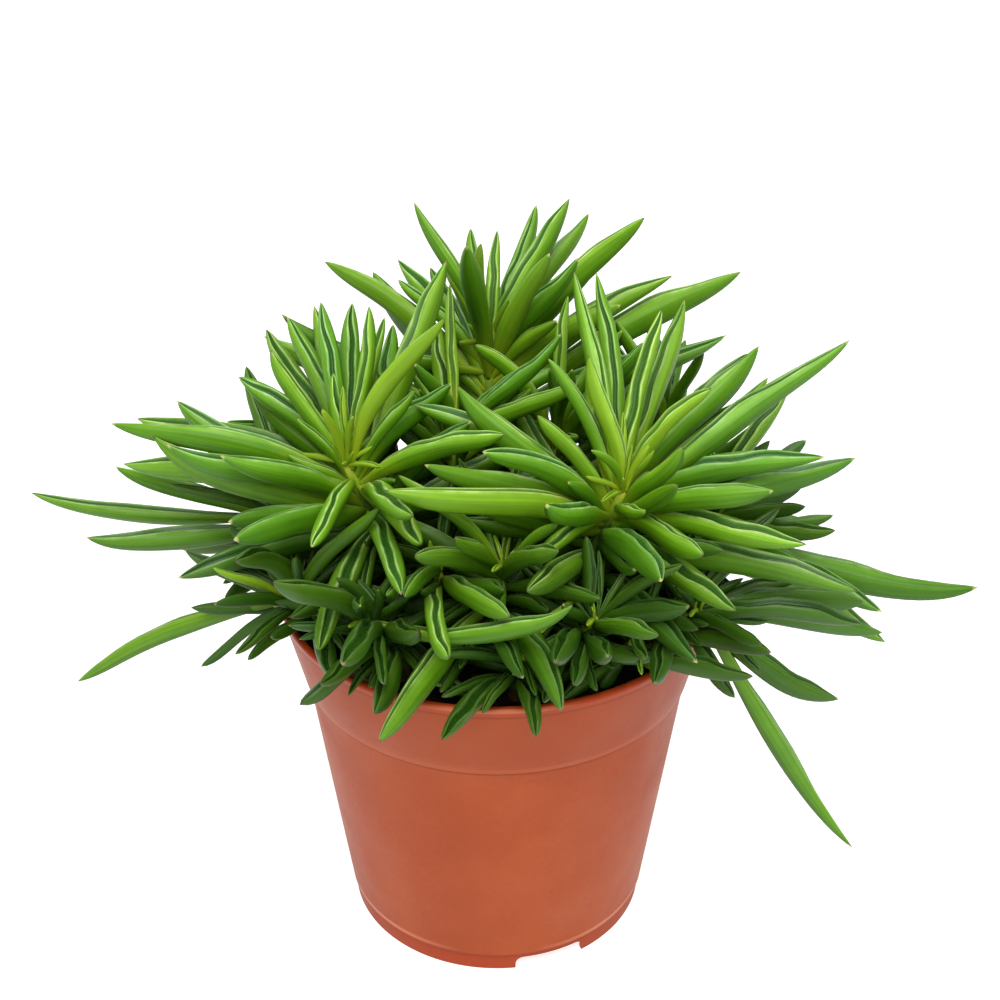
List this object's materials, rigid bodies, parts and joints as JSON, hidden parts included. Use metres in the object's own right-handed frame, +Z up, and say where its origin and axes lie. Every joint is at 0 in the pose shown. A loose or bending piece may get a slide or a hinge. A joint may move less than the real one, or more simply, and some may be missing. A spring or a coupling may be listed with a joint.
{
  "type": "potted peperomia",
  "caption": "House plant with narrow folded leaves in rosettes on short upright stems, growing in a tapered plastic nursery pot with a rim band, a foot ring and drainage holes.",
  "frame": {"origin": "on the pot's axis, on the surface that the pot stands on; the whole plant's box is centred there within 2 mm", "axes": "+Z up along the pot's axis, +X to the viewer's right in the picture, -Y towards the viewer"},
  "size_m": [0.258, 0.1651, 0.199],
  "materials": {
    "pot plastic": "satin",
    "soil": "matte",
    "bark": "matte",
    "leaf": "satin"
  },
  "bodies": {
    "root": {"pot": "pot plastic", "soil": "soil", "bark_chip_1": "bark", "bark_chip_2": "bark", "bark_chip_3": "bark", "crown_right": "leaf", "crown_left": "leaf", "crown_back": "leaf", "shoot_rim_left": "leaf", "shoot_far_left": "leaf", "shoot_far_right": "leaf", "shoot_low_right": "leaf", "shoot_centre": "leaf", "shoot_low_left": "leaf", "shoot_middle": "leaf", "shoot_inner": "leaf", "shoot_inner_right": "leaf", "shoot_front": "leaf", "shoot_rim_front": "leaf", "shoot_low_front": "leaf", "shoot_rim_right": "leaf", "shoot_back_right": "leaf", "shoot_back_left": "leaf", "shoot_back_low": "leaf"}
  },
  "joints": []
}
